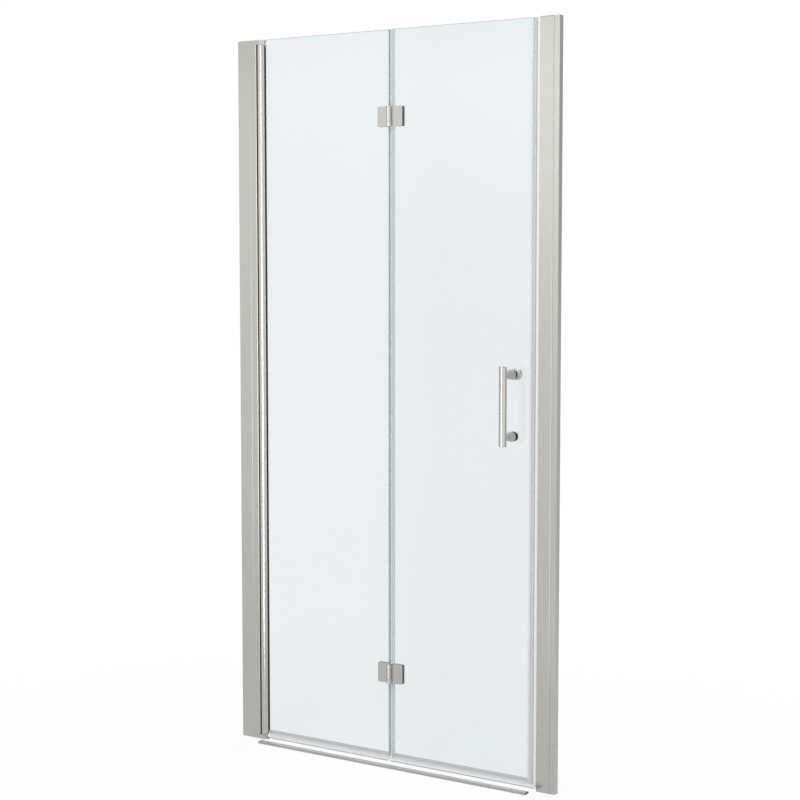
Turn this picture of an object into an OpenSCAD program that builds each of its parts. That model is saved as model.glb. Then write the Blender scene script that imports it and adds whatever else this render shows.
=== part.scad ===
// Trackless bifold shower door: two 6 mm glass panels between a hinge-side and a strike-side wall profile.
// X runs across the opening from the hinge-side wall, Y points into the shower and Z up from the tray.
// The origin is on the hinge-side wall, at tray level, in the middle plane of the glass.

/* [Overall size] */
// Width from wall to wall
door_w = 947; // [930:1:1000]
// Height of the wall channels, posts and glass
door_h = 1829; // [1700:1:2000]

/* [Wall channels] */
// Depth of the frame profiles, front to back
frame_d = 16; // [15:0.5:20]
// Wall thickness of the channels
channel_t = 1.6; // [1.2:0.1:2]
// Chamfer on the channel lips
lip_chamfer = 0.6; // [0.2:0.1:0.8]
// Face width of the hinge-side channel
hinge_channel_w = 38.7; // [28:0.1:42]
// Face width of the strike-side channel
strike_channel_w = 15; // [14.5:0.1:24]
// Radius of the wall screw holes
wall_hole_r = 3; // [2:0.5:4]
// Height of the lowest wall screw hole
wall_hole_first = 120; // [80:5:200]
// Distance between neighbouring wall screw holes
wall_hole_pitch = 530; // [480:5:540]

/* [Posts] */
// Face width of the hinge post beside its channel
hinge_post_w = 19.4; // [19:0.1:30]
// Face width of the strike post beside its channel
strike_post_w = 36.9; // [30:0.1:42]
// Wall thickness of the posts
post_t = 1.4; // [1.2:0.1:1.8]
// Length of the hinge post's tail inside its channel
hinge_tail = 22; // [16:0.5:25]
// Length of the strike post's tail inside its channel
strike_tail = 9.5; // [8:0.5:11]
// Width of the sloped shoulder beside the channel
shoulder_w = 3; // [2:0.1:5]
// Drop of the shoulder at the channel
shoulder_drop = 0.5; // [0.3:0.1:1]
// Bevel on the long edges of the posts
post_bevel = 1.5; // [0.5:0.1:2]
// Height of the lowest post fixing screw
post_screw_first = 160; // [100:5:240]
// Distance between neighbouring post fixing screws
post_screw_pitch = 754; // [650:1:760]

/* [Pivot] */
// Outer radius of the pivot profile's tube
pivot_r = 8.8; // [8.4:0.1:9.5]
// Wall thickness of the pivot profile's tube
tube_t = 2; // [1.5:0.1:2.2]
// Gap between the hinge post and the tube
pivot_gap = 1.1; // [0.9:0.1:1.5]
// Height of the pivot brackets
bracket_h = 12; // [11:0.5:14]
// Thickness of the thrust washers
washer_t = 0.9; // [0.6:0.1:1.2]
// Radius of the pivot pins
pivot_pin_r = 3; // [2.5:0.1:3.2]
// Length of the pivot pins inside the bushes
pivot_pin_reach = 20; // [15:1:30]
// Length of the pivot bushes
bush_len = 24; // [22:1:35]
// Reach of the glazing legs from the pivot axis
glazing_reach = 14.7; // [13.5:0.1:17]
// Reach of the bottom bracket's toe from the pivot axis
toe_len = 15; // [13:0.5:24]
// Thickness of the glazing legs
glazing_leg_t = 1.3; // [1:0.1:1.6]
// Length of the gasket lips beyond the legs
gasket_lip = 1.8; // [1.5:0.1:4]

/* [Glass] */
// Glass thickness
glass_t = 6; // [5:0.5:8]
// Ground chamfer on the glass edges
arris = 0.4; // [0.2:0.1:0.8]
// Height of the glass above the tray
glass_lift = 15; // [14.5:0.5:20]
// Width of the wall panel's glass
wall_glass_w = 395; // [360:0.1:410]
// Height of the top corner notch
top_notch_h = 20; // [18:0.5:30]
// Height of the bottom corner notch
bottom_notch_h = 3; // [2:0.5:8]
// Distance from the pivot axis to the edges of the corner notches
notch_reach = 18.7; // [17:0.1:22]
// Radius of the hinge screw holes in the glass
hinge_glass_hole_r = 5; // [4.5:0.1:6]
// Radius of the handle holes in the glass
handle_glass_hole_r = 6; // [5.6:0.1:7]

/* [Panel hinges] */
// Distance of the lower hinge's centre from the tray
lower_hinge_z = 231; // [150:1:400]
// Distance of the upper hinge's centre from the top
upper_hinge_drop = 211; // [150:1:400]
// Height of a hinge
hinge_h = 49.2; // [45:0.1:60]
// Reach of a leaf from the hinge axis
leaf_reach = 35.9; // [34:0.1:45]
// Thickness of a leaf
leaf_t = 4; // [3.5:0.1:6]
// Corner radius of the plates
leaf_corner_r = 2; // [1:0.5:4]
// Radius of the knuckles
knuckle_r = 6.2; // [5.5:0.1:7]
// Distance of the hinge axis in front of the middle plane of the glass
hinge_axis_y = 12.5; // [12.2:0.1:14]
// Length of each outer knuckle
outer_knuckle_h = 13; // [10:0.5:16]
// Radius of the hinge pins
hinge_pin_r = 2.5; // [2:0.1:3]
// Thickness of the back plates
back_plate_t = 4; // [3:0.1:5]
// Distance from the hinge axis to the screws
hinge_screw_x = 22; // [20:0.5:26]
// Distance between the two screws of a plate
hinge_screw_pitch = 28; // [22:1:34]
// Radius of the hinge screws
hinge_screw_r = 2.5; // [2:0.1:3]
// Thickness of the plate gaskets
plate_gasket_t = 0.9; // [0.6:0.1:1.2]
// Distance from the hinge axis back to the wall panel's glass edge
wall_edge_setback = 4.6; // [4:0.1:10]
// Distance from the hinge axis on to the door panel's glass edge
door_edge_setback = 3; // [0.5:0.1:4]

/* [Seals] */
// Wall thickness of the clear seals
seal_t = 1.4; // [1:0.1:1.6]
// Length of the centre seal's legs on the glass
centre_leg = 6.5; // [5:0.5:14]
// Reach of the centre seal's rear fin behind the wall panel
centre_fin = 6; // [4:0.5:10]
// Length of the edge seal's legs on the glass
edge_leg = 6.5; // [5:0.5:10]
// Width of the edge seal's magnet chamber
edge_chamber_w = 9; // [8:0.1:11]
// Gap between the two magnet seals when shut
closing_gap = 0.8; // [0.6:0.1:0.9]
// Width of the strike magnet carrier beyond its post
carrier_w = 7.7; // [7:0.1:11]
// Depth of the strike magnet carrier, front to back
carrier_d = 13; // [11:0.5:14]
// Width of the magnet strips
magnet_w = 3; // [2:0.1:4]
// Depth of the magnet strips, front to back
magnet_d = 6; // [4:0.5:7]
// Height of the bottom seals' legs on the glass
bottom_leg = 11.4; // [10:0.1:18]
// Height of the bottom seals' fins above the tray
fin_lift = 6.2; // [6:0.1:8]
// Reach of the bottom seals' outer fins in front of the glass plane
fin_reach = 10; // [8:0.5:14]
// Gap between the door's bottom seal and the strike post
bottom_end_gap = 1.5; // [1:0.1:4]

/* [Handle] */
// Distance from the handle's axis to the door glass's free edge
handle_inset = 52.5; // [45:0.5:90]
// Height of the handle's middle
handle_z = 923; // [850:1:1050]
// Distance between the handle posts
handle_pitch = 148; // [120:1:200]
// Length of the handle bar
bar_len = 190; // [170:1:260]
// Radius of the handle bar
bar_r = 9.5; // [8:0.1:11]
// Distance from the bar's axis to the glass face
bar_standoff = 46; // [40:0.5:60]
// Radius of a post's neck at the bar
neck_r = 7.6; // [6:0.1:9]
// Radius of a post's boss at the glass
boss_r = 12.3; // [10:0.1:14]
// Height of the boss
boss_h = 2.5; // [2:0.5:8]
// Thickness of the black bushes outside the glass
bush_ring_t = 4.9; // [2:0.1:6]
// Radius of the handle studs
stud_r = 4; // [3:0.1:4.4]
// Depth of a stud inside its post
stud_depth = 14; // [10:1:20]
// Radius of the rear knob
knob_r = 14.3; // [12:0.1:18]
// Length of the rear knob
knob_len = 17.2; // [14:0.1:24]
// Thickness of the rear cap
cap_t = 5.2; // [4:0.1:8]
// Thickness of the rear washers
rear_washer_t = 0.8; // [0.5:0.1:1.5]

/* [Threshold] */
// Distance of the threshold's front edge in front of the glass plane
threshold_front = 48.5; // [40:0.5:60]
// Depth of the threshold, front to back
threshold_d = 18.5; // [14:0.5:24]
// Height of the threshold
threshold_h = 5.4; // [4:0.1:5.5]
// Wall thickness of the threshold
threshold_t = 0.9; // [0.6:0.1:1.2]
// Gap between the threshold's ends and the profiles on each side
threshold_end_gap = 6; // [3:0.5:15]

/* [Clearances] */
// Gap between a post and the channel it slides in
slide_clear = 0.2; // [0.1:0.05:0.4]
// Gap between a seated piece and its seat
seat_clear = 0.05; // [0.03:0.01:0.1]
// Radial clearance of a pin that turns
run_clear = 0.05; // [0.03:0.01:0.09]
// Radial clearance of a pin or screw that is fixed
fixed_clear = 0.02; // [0.01:0.01:0.05]
// Gap between two knuckles
knuckle_clear = 0.3; // [0.2:0.05:0.5]
// Gap between a soft fin and the moving face it closes
fin_clear = 0.3; // [0.2:0.05:0.5]

/* [Hidden] */
$fn = 48;
cut = 1;                    // how far a cutting shape runs past the face it cuts

half_d = frame_d / 2;
half_glass = glass_t / 2;
tail_half_d = half_d - channel_t - slide_clear;
tail_top = door_h - bracket_h;

// Hinge side, from the wall to the glass
hinge_mouth = hinge_channel_w;
post_edge = hinge_mouth + hinge_post_w;
pivot_x = post_edge + pivot_gap + pivot_r;
tube_bottom = bracket_h + washer_t + seat_clear * 2;
tube_top = door_h - tube_bottom;
bush_wall = 1;
pocket_floor_t = 1.3;
void_reach = pivot_pin_r + run_clear + bush_wall;
pocket_floor = void_reach + pocket_floor_t;
gasket_base_t = 1;
gasket_side_t = 1.2;
pocket_half = half_glass + gasket_side_t;
leg_half = pocket_half + glazing_leg_t;
wall_glass_left = pivot_x + pocket_floor + gasket_base_t + seat_clear;
leg_bottom = glass_lift + bottom_notch_h;
leg_top = door_h - top_notch_h;

// Middle, from one panel to the other
wall_glass_right = wall_glass_left + wall_glass_w;
fold_x = wall_glass_right + wall_edge_setback;
door_glass_left = fold_x + door_edge_setback;

// Strike side, from the wall to the glass
strike_mouth = door_w - strike_channel_w;
strike_edge = strike_mouth - strike_post_w;
carrier_left = strike_edge - carrier_w;
edge_seal_right = carrier_left - closing_gap;
door_glass_right = edge_seal_right - edge_chamber_w - seal_t - seat_clear;

// Hinge plates
plate_face = half_glass + plate_gasket_t + seat_clear * 2;
leaf_front = plate_face + leaf_t;
knuckle_reach = knuckle_r + knuckle_clear;
knuckle_stand = hinge_axis_y - leaf_front;
leaf_edge = max(door_edge_setback, sqrt(max(0, pow(knuckle_reach, 2) - pow(knuckle_stand, 2)))) + seat_clear;
knuckle_bridge_t = 3;
screw_skin = 0.8;           // metal left in front of a hinge screw's tip
screw_tip = leaf_front - screw_skin;
plate_edge_margin = 1;
wall_plate_edge = max(knuckle_reach, wall_edge_setback + plate_edge_margin);
plate_seal_gap = 1.5;
upper_hinge_z = door_h - upper_hinge_drop;
hinge_heights = [lower_hinge_z, upper_hinge_z];
hinge_screw_levels = [-hinge_screw_pitch / 2, hinge_screw_pitch / 2];
head_r = 4.8;
head_clear = 2 * seat_clear;
head_h = head_r - hinge_screw_r;
socket_r = 1.7;
socket_depth = 2;

// Handle
handle_x = door_glass_right - handle_inset;
bar_axis_y = -half_glass - bar_standoff;
post_foot_y = -half_glass - seat_clear * 2 - bush_ring_t;
handle_levels = [handle_z - handle_pitch / 2, handle_z + handle_pitch / 2];
rear_face_y = half_glass + rear_washer_t + seat_clear * 2;
bar_end_chamfer = 1;
bush_inset = 0.9;           // how far a bush stands back from its boss

// Small fixing screws of the frame
small_screw_r = 2;
small_head_r = 3.5;
small_head_h = 2.2;
screw_cap_r = 5;
screw_cap_h = 3.2;
screw_cap_t = 0.8;
bracket_screw_len = 16;
bracket_head_h = 4;
toe_clear = 1.2;            // gap between the bottom toe and the fins that pass over it
port_wall = 1.4;
port_rib_t = 1.2;
hinge_ports = [4.4, hinge_post_w - 7];
strike_ports = [9, 21];
hinge_screw_inset = 11;
strike_screw_inset = strike_tail / 2;
post_screw_tip = 2;
wall_hole_levels = [for (i = [0:3]) wall_hole_first + i * wall_hole_pitch];
post_screw_levels = [for (i = [0:2]) post_screw_first + i * post_screw_pitch];

// T-slots in the post edges: mouth half-width, inner half-width, mouth depth and inner depth
gap_slot = [1.2, 2.1, 0.9, 2.2];
carrier_slot = [2, 3.2, 1.4, 2.4];
slot_wall = 1.2;

cap_plate_t = 2;
cap_skirt_t = 1.2;
strike_cap_plug = 6;
magnet_wall = 0.9;          // wall round a magnet strip
strip_corner = 1;           // corner chamfer of the magnet strips' carriers

nickel = [0.74, 0.73, 0.7];
steel = [0.8, 0.8, 0.79];
glass_tint = [0.85, 0.93, 0.92, 0.35];
clear_pvc = [0.82, 0.84, 0.85, 0.6];
black_rubber = [0.12, 0.12, 0.11];
white_pvc = [0.93, 0.93, 0.92];
nylon = [0.9, 0.9, 0.88];
magnet_black = [0.2, 0.2, 0.2];

// ---------- helpers ----------

// Extrudes a plan section (X, Y) from z0 up to z1
module rise(z0, z1) translate([0, 0, z0]) linear_extrude(z1 - z0) children();

// Extrudes a side section (Y, Z) from x0 across to x1
module across(x0, x1) translate([x0, 0, 0]) rotate([90, 0, 90]) linear_extrude(x1 - x0) children();

// Extrudes a front outline (X, Z) from y0 back to y1
module deep(y0, y1) translate([0, y1, 0]) rotate([90, 0, 0]) linear_extrude(y1 - y0) children();

// Lays a shape made along Z so that it runs along +Y
module along_y() rotate([-90, 0, 0]) children();

module hole_y(r, y0, y1) translate([0, y0, 0]) along_y() cylinder(r = r, h = y1 - y0);

module from_top() translate([0, 0, door_h]) mirror([0, 0, 1]) children();

// ---------- frame sections ----------

// U section of a wall channel, with its web on the wall at X = 0
module channel_section(w) {
    c = lip_chamfer;
    difference() {
        polygon([
            [0, -half_d], [w - c, -half_d], [w, c - half_d], [w, half_d - c], [w - c, half_d], [0, half_d]
        ]);
        translate([channel_t, channel_t - half_d]) square([w, frame_d - 2 * channel_t]);
    }
}

// Outline of a post; X = 0 is at the mouth of its channel
module post_outline(w, tail, bevel) {
    low = half_d - shoulder_drop;
    polygon([
        [-tail, -tail_half_d], [slide_clear, -tail_half_d], [slide_clear, -low], [shoulder_w, -half_d],
        [w - bevel, -half_d], [w, bevel - half_d], [w, half_d - bevel], [w - bevel, half_d],
        [shoulder_w, half_d], [slide_clear, low], [slide_clear, tail_half_d], [-tail, tail_half_d]
    ]);
}

// T-slot that opens at X = 0 and runs towards -X
module t_slot(slot) {
    translate([-slot[2] - cut / 10, -slot[0]]) square([slot[2] + cut, 2 * slot[0]]);
    translate([-slot[2] - slot[3], -slot[1]]) square([slot[3], 2 * slot[1]]);
}

// Hollow post with screw ports on ribs and a T-slot in its edge
module post_section(w, tail, ports, slot) {
    low = half_d - shoulder_drop;
    inner = w - post_t;
    slot_depth = slot[2] + slot[3];
    difference() {
        union() {
            difference() {
                post_outline(w, tail, post_bevel);
                translate([post_t - tail, post_t - tail_half_d])
                    square([tail + inner - post_t, 2 * (tail_half_d - post_t)]);
                translate([slide_clear + post_t, post_t - low])
                    square([inner - slide_clear - post_t, 2 * (low - post_t)]);
            }
            for (x = ports) {
                translate([x, 0]) circle(r = small_screw_r + port_wall);
                translate([x - port_rib_t / 2, post_t / 2 - low]) square([port_rib_t, 2 * low - post_t]);
            }
            translate([w - slot_depth - slot_wall, -slot[1] - slot_wall])
                square([slot_depth + slot_wall - post_t / 2, 2 * (slot[1] + slot_wall)]);
        }
        for (x = ports) translate([x, 0]) circle(r = small_screw_r + fixed_clear);
        translate([w, 0]) t_slot(slot);
    }
}

module at_strike() translate([strike_mouth, 0, 0]) mirror([1, 0, 0]) children();

// Bores through the inner wall of a channel and the post tail behind it
module post_screw_bores(x, r) {
    for (z = post_screw_levels)
        translate([x, 0, z]) hole_y(r, 0, half_d + cut);
}

module wall_screw_bores() {
    for (z = wall_hole_levels)
        translate([-cut, 0, z]) rotate([0, 90, 0]) cylinder(r = wall_hole_r, h = channel_t + 2 * cut);
}

// ---------- hinge side of the frame ----------

module hinge_wall_channel() {
    color(nickel) difference() {
        rise(0, door_h) channel_section(hinge_channel_w);
        wall_screw_bores();
        post_screw_bores(hinge_mouth - hinge_screw_inset, small_screw_r + fixed_clear);
    }
}

module hinge_post() {
    color(nickel) difference() {
        translate([hinge_mouth, 0, 0]) rise(bracket_h + seat_clear, tail_top - seat_clear)
            post_section(hinge_post_w, hinge_tail, hinge_ports, gap_slot);
        post_screw_bores(hinge_mouth - hinge_screw_inset, small_screw_r + fixed_clear);
    }
}

// Bridge from the post to the pivot axis, as it lies at the bottom
module pivot_bracket() {
    difference() {
        union() {
            intersection() {
                translate([hinge_mouth, 0, 0]) rise(0, bracket_h)
                    post_outline(pivot_x - hinge_mouth + pivot_r, 0, post_bevel);
                translate([hinge_mouth, -half_d, 0]) cube([pivot_x - hinge_mouth, frame_d, bracket_h]);
            }
            translate([pivot_x, 0, 0]) cylinder(r = pivot_r, h = bracket_h);
        }
        for (x = hinge_ports) translate([hinge_mouth + x, 0, -cut]) {
            cylinder(r = small_screw_r + fixed_clear, h = bracket_h + 2 * cut);
            cylinder(r = small_head_r + slide_clear, h = cut + bracket_head_h + slide_clear);
        }
        translate([pivot_x, 0, bracket_h / 4]) cylinder(r = pivot_pin_r + fixed_clear, h = bracket_h);
    }
}

// Rounded toe that carries a bracket on past its pin, in line with the glazing legs
module bracket_toe(reach, height) {
    straight = reach - leg_half;
    difference() {
        union() {
            translate([pivot_x, -leg_half, 0]) cube([straight, 2 * leg_half, height]);
            translate([pivot_x + straight, 0, 0]) cylinder(r = leg_half, h = height);
        }
        translate([pivot_x, 0, bracket_h / 4]) cylinder(r = pivot_pin_r + fixed_clear, h = bracket_h);
    }
}

// The bottom toe stays below the seal's fins, and the top one stops short of the notched glass
module bottom_pivot_bracket() color(nickel) union() {
    pivot_bracket();
    bracket_toe(toe_len, fin_lift - toe_clear);
}

module top_pivot_bracket() color(nickel) from_top() union() {
    pivot_bracket();
    bracket_toe(glazing_reach, bracket_h);
}

module pivot_pin() {
    foot = bracket_h / 4 + seat_clear;
    tip = tube_bottom + pivot_pin_reach;
    tip_chamfer = 0.6;
    translate([pivot_x, 0, 0]) rotate_extrude() polygon([
        [0, foot], [pivot_pin_r, foot], [pivot_pin_r, tip - tip_chamfer],
        [pivot_pin_r - tip_chamfer, tip], [0, tip]
    ]);
}

module bottom_pivot_pin() color(steel) pivot_pin();
module top_pivot_pin() color(steel) from_top() pivot_pin();

module thrust_washer() {
    translate([pivot_x, 0, bracket_h + seat_clear]) difference() {
        cylinder(r = pivot_r - tube_t, h = washer_t);
        translate([0, 0, -cut]) cylinder(r = pivot_pin_r + run_clear, h = washer_t + 2 * cut);
    }
}

module thrust_washers() color(nylon) {
    thrust_washer();
    from_top() thrust_washer();
}

// Screw up through a bracket or cap into the ports of its post; the head is at the outer end
module end_screw(head_depth, reach) {
    difference() {
        union() {
            cylinder(r = small_screw_r, h = reach);
            cylinder(r = small_head_r, h = head_depth);
        }
        translate([0, 0, -cut]) cylinder(r = socket_r, h = cut + socket_depth, $fn = 6);
    }
}

module bracket_screw_pair() {
    for (x = hinge_ports) translate([hinge_mouth + x, 0, slide_clear / 2])
        end_screw(bracket_head_h, bracket_h + bracket_screw_len);
}

module bracket_screws() color(steel) {
    bracket_screw_pair();
    from_top() bracket_screw_pair();
}

// Rubber strip in the post's T-slot; its lip closes the gap to the turning tube
module pivot_gap_seal() {
    stem = gap_slot[0] - seat_clear;
    root = gap_slot[1] - seat_clear;
    neck = -seat_clear - gap_slot[2];
    end = seat_clear - gap_slot[2] - gap_slot[3];
    lip = pivot_gap - fin_clear;
    color(black_rubber) translate([post_edge, 0, 0])
        rise(bracket_h + 2 * seat_clear, tail_top - 2 * seat_clear) polygon([
            [end, -root], [neck, -root], [neck, -stem], [0, -stem], [lip, -stem / 2],
            [lip, stem / 2], [0, stem], [neck, stem], [neck, root], [end, root]
        ]);
}

// Plug that closes the top of the channel beside the top bracket
module hinge_channel_cap() {
    lo = channel_t + slide_clear;
    depth = 2 * tail_half_d;
    w = hinge_mouth - lo;
    color(nickel) difference() {
        translate([lo, -tail_half_d, tail_top + slide_clear]) cube([w, depth, bracket_h - slide_clear]);
        translate([lo + cap_skirt_t, cap_skirt_t - tail_half_d, tail_top - cut])
            cube([w - 2 * cap_skirt_t, depth - 2 * cap_skirt_t, bracket_h - cap_plate_t + cut]);
    }
}

// Pan-head screw from the shower side through the channel into the post tail
module post_screw() {
    seat = half_d + seat_clear;
    difference() {
        union() {
            hole_y(small_screw_r, post_screw_tip, seat + cut);
            translate([0, seat, 0]) along_y() rotate_extrude() polygon([
                [0, 0], [small_head_r, 0], [small_head_r, small_head_h / 2], [small_head_r - 1, small_head_h],
                [0, small_head_h]
            ]);
        }
        translate([0, seat + small_head_h / 2, 0]) along_y()
            cylinder(r = socket_r, h = small_head_h, $fn = 6);
    }
}

// Snap cap over a screw head
module screw_cap() {
    seat = half_d + seat_clear;
    translate([0, seat, 0]) along_y() rotate_extrude() polygon([
        [small_head_r + slide_clear, 0], [screw_cap_r, 0], [screw_cap_r, screw_cap_h - 1.2],
        [screw_cap_r - 1.2, screw_cap_h], [0, screw_cap_h], [0, screw_cap_h - screw_cap_t],
        [small_head_r + slide_clear, screw_cap_h - screw_cap_t]
    ]);
}

module at_hinge_screws() for (z = post_screw_levels)
    translate([hinge_mouth - hinge_screw_inset, 0, z]) children();

module at_strike_screws() for (z = post_screw_levels)
    translate([strike_mouth + strike_screw_inset, 0, z]) children();

module hinge_post_screws() color(steel) at_hinge_screws() post_screw();
module hinge_screw_caps() color(nickel) at_hinge_screws() screw_cap();

// ---------- strike side of the frame ----------

module strike_wall_channel() {
    color(nickel) difference() {
        translate([door_w, 0, 0]) mirror([1, 0, 0]) difference() {
            rise(0, door_h) channel_section(strike_channel_w);
            wall_screw_bores();
        }
        post_screw_bores(strike_mouth + strike_screw_inset, small_screw_r + fixed_clear);
    }
}

module strike_post() {
    color(nickel) difference() {
        at_strike() rise(0, door_h - cap_plate_t - seat_clear)
            post_section(strike_post_w, strike_tail, strike_ports, carrier_slot);
        post_screw_bores(strike_mouth + strike_screw_inset, small_screw_r + fixed_clear);
    }
}

// Push-in strip that holds the strike magnet; X = 0 is its face towards the door
module strike_magnet_carrier() {
    half = carrier_d / 2;
    stem = carrier_slot[0] - seat_clear;
    root = carrier_slot[1] - seat_clear;
    neck = carrier_w + carrier_slot[2] + seat_clear;
    end = carrier_w + carrier_slot[2] + carrier_slot[3] - seat_clear;
    back = carrier_w - seat_clear;
    wall = magnet_wall;
    c = strip_corner;
    color(white_pvc) translate([carrier_left, 0, 0])
        rise(glass_lift + seat_clear, door_h - cap_plate_t - seat_clear) difference() {
            polygon([
                [0, c - half], [c, -half], [back, -half], [back, -stem], [neck, -stem], [neck, -root],
                [end, -root], [end, root], [neck, root], [neck, stem], [back, stem], [back, half],
                [c, half], [0, half - c]
            ]);
            translate([wall, -magnet_d / 2 - seat_clear])
                square([magnet_w + 2 * seat_clear, magnet_d + 2 * seat_clear]);
            translate([2 * wall + magnet_w + 2 * seat_clear, wall - half])
                square([carrier_w - 3 * wall - magnet_w - 3 * seat_clear, carrier_d - 2 * wall]);
        }
}

module magnet_strip(z0, z1) rise(z0, z1) translate([0, -magnet_d / 2]) square([magnet_w, magnet_d]);

module strike_magnet() color(magnet_black) translate([carrier_left + magnet_wall + seat_clear, 0, 0])
    magnet_strip(glass_lift + cut, door_h - cap_plate_t - cut);

// Cap on the post and its channel, screwed into the post's ports
module strike_top_cap() {
    plug_half = half_d - shoulder_drop - post_t - slide_clear;
    plug_left = strike_ports[0] + small_screw_r + port_wall + slide_clear;
    plug_w = strike_ports[1] - strike_ports[0] - 2 * (small_screw_r + port_wall + slide_clear);
    color(nickel) difference() {
        at_strike() union() {
            rise(door_h - cap_plate_t, door_h) difference() {
                post_outline(strike_post_w, strike_channel_w - channel_t - slide_clear, post_bevel);
                for (x = strike_ports) translate([x, 0]) circle(r = small_screw_r + fixed_clear);
            }
            rise(door_h - cap_plate_t - strike_cap_plug, door_h - cap_plate_t)
                translate([plug_left, -plug_half]) difference() {
                    square([plug_w, 2 * plug_half]);
                    translate([cap_skirt_t, cap_skirt_t])
                        square([plug_w - 2 * cap_skirt_t, 2 * (plug_half - cap_skirt_t)]);
                }
        }
    }
}

module strike_cap_screws() color(steel) at_strike() for (x = strike_ports)
    translate([x, 0, door_h + seat_clear]) {
        difference() {
            union() {
                translate([0, 0, -bracket_screw_len])
                    cylinder(r = small_screw_r, h = bracket_screw_len + cut);
                cylinder(r1 = small_head_r, r2 = small_head_r - 0.6, h = small_head_h / 2);
            }
            translate([0, 0, small_head_h / 2 - 1]) cylinder(r = socket_r, h = 2 * cut, $fn = 6);
        }
    }

module strike_post_screws() color(steel) at_strike_screws() post_screw();
module strike_screw_caps() color(nickel) at_strike_screws() screw_cap();

// Hollow bar on the tray; its broad top falls a little towards the door
module threshold_section() {
    t = threshold_t;
    h = threshold_h;
    d = threshold_d;
    nose = 0.8;
    rear_h = h - 0.6;
    difference() {
        polygon([[0, 0], [0, h - nose], [nose, h], [d - nose, rear_h], [d, rear_h - nose], [d, 0]]);
        polygon([[t, t], [t, h - nose - t / 2], [nose + t / 2, h - t], [d - nose - t / 2, rear_h - t],
            [d - t, rear_h - nose - t / 2], [d - t, t]]);
    }
}

module threshold_bar() color(nickel)
    across(pivot_x + pivot_r + threshold_end_gap, strike_edge - threshold_end_gap)
        translate([-threshold_front, 0]) threshold_section();

// ---------- wall panel ----------

// Round inside of the pivot tube, flattened by the floor of the glazing pocket
module tube_void(shrink) intersection() {
    circle(r = pivot_r - tube_t - shrink);
    translate([-pivot_r, -pivot_r]) square([pivot_r + void_reach - shrink, 2 * pivot_r]);
}

// Pivot tube with a glazing pocket; X = 0 is the pivot axis
module pivot_section() {
    tip = 0.4;
    difference() {
        union() {
            circle(r = pivot_r);
            polygon([
                [0, -leg_half], [glazing_reach - tip, -leg_half], [glazing_reach, tip - leg_half],
                [glazing_reach, leg_half - tip], [glazing_reach - tip, leg_half], [0, leg_half]
            ]);
        }
        tube_void(0);
        translate([pocket_floor, -pocket_half]) square([glazing_reach, 2 * pocket_half]);
    }
}

// The legs run to the tube's top, but start above the bottom seal
module pivot_profile() color(nickel) difference() {
    translate([pivot_x, 0, 0]) rise(tube_bottom, tube_top) pivot_section();
    translate([pivot_x + pivot_r, -leg_half - cut, tube_bottom - cut])
        cube([glazing_reach, 2 * (leg_half + cut), leg_bottom - tube_bottom + cut]);
}

module pivot_bush() {
    translate([pivot_x, 0, 0]) rise(tube_bottom, tube_bottom + bush_len) difference() {
        tube_void(seat_clear);
        circle(r = pivot_pin_r + run_clear);
    }
}

module bottom_pivot_bush() color(nylon) pivot_bush();
module top_pivot_bush() color(nylon) from_top() pivot_bush();

// U-shaped rubber in the glazing pocket; its lips stand past the legs
module glazing_gasket() {
    floor_x = pocket_floor + seat_clear;
    side = pocket_half - seat_clear;
    glass_side = half_glass + seat_clear;
    lip_start = glazing_reach + seat_clear;
    lip_end = glazing_reach + gasket_lip;
    lip_half = pocket_half + glazing_leg_t / 2;
    lip_tip = half_glass + 0.6;
    color(black_rubber) translate([pivot_x, 0, 0])
        rise(leg_bottom + seat_clear, leg_top - seat_clear) difference() {
            polygon([
                [floor_x, -side], [lip_start, -side], [lip_start, -lip_half], [lip_end - 1, -lip_half + 0.2],
                [lip_end, -lip_tip], [lip_end, lip_tip], [lip_end - 1, lip_half - 0.2], [lip_start, lip_half],
                [lip_start, side], [floor_x, side]
            ]);
            translate([floor_x + gasket_base_t, -glass_side])
                square([glazing_reach + gasket_lip, 2 * glass_side]);
        }
}

// Glass pane in plan, with ground edges
module glass_plan(x0, x1) polygon([
    [x0, arris - half_glass], [x0 + arris, -half_glass], [x1 - arris, -half_glass], [x1, arris - half_glass],
    [x1, half_glass - arris], [x1 - arris, half_glass], [x0 + arris, half_glass], [x0, half_glass - arris]
]);

// Screw holes of the panel hinges, on the side given by the sign
module at_hinge_holes(side) for (z = hinge_heights, dz = hinge_screw_levels)
    translate([fold_x + side * hinge_screw_x, 0, z + dz]) children();

module wall_glass() {
    notch_x = pivot_x + notch_reach;
    notch_w = notch_x - wall_glass_left;
    color(glass_tint) difference() {
        rise(glass_lift, door_h) glass_plan(wall_glass_left, wall_glass_right);
        translate([wall_glass_left - cut, -glass_t, glass_lift - cut])
            cube([notch_w + cut, 2 * glass_t, bottom_notch_h + cut]);
        translate([wall_glass_left - cut, -glass_t, leg_top])
            cube([notch_w + cut, 2 * glass_t, top_notch_h + cut]);
        at_hinge_holes(-1) hole_y(hinge_glass_hole_r, -glass_t, glass_t);
    }
}

// Side section of a bottom seal: legs on the glass, a base under it and two fins
module bottom_base() {
    wide = half_glass + seat_clear + seal_t;
    base_top = glass_lift - seat_clear;
    base_low = base_top - seal_t;
    fin_t = 0.9;
    inner_root = wide / 4;
    inner_tip = wide / 2;
    polygon([
        [fin_t + 0.4 - wide, base_low], [fin_t - fin_reach, fin_lift], [-fin_reach, fin_lift],
        [-wide, base_low + 0.3], [-wide, base_top], [wide, base_top], [wide, base_low],
        [inner_root + fin_t, base_low], [inner_tip + fin_t, fin_lift + 1], [inner_tip, fin_lift + 1],
        [inner_root, base_low]
    ]);
}

module bottom_clip() {
    inside = half_glass + seat_clear;
    base_top = glass_lift - seat_clear;
    for (side = [-1, 1]) translate([side * (inside + seal_t / 2) - seal_t / 2, base_top - seal_t])
        square([seal_t, bottom_leg + seal_t + seat_clear]);
}

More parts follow.
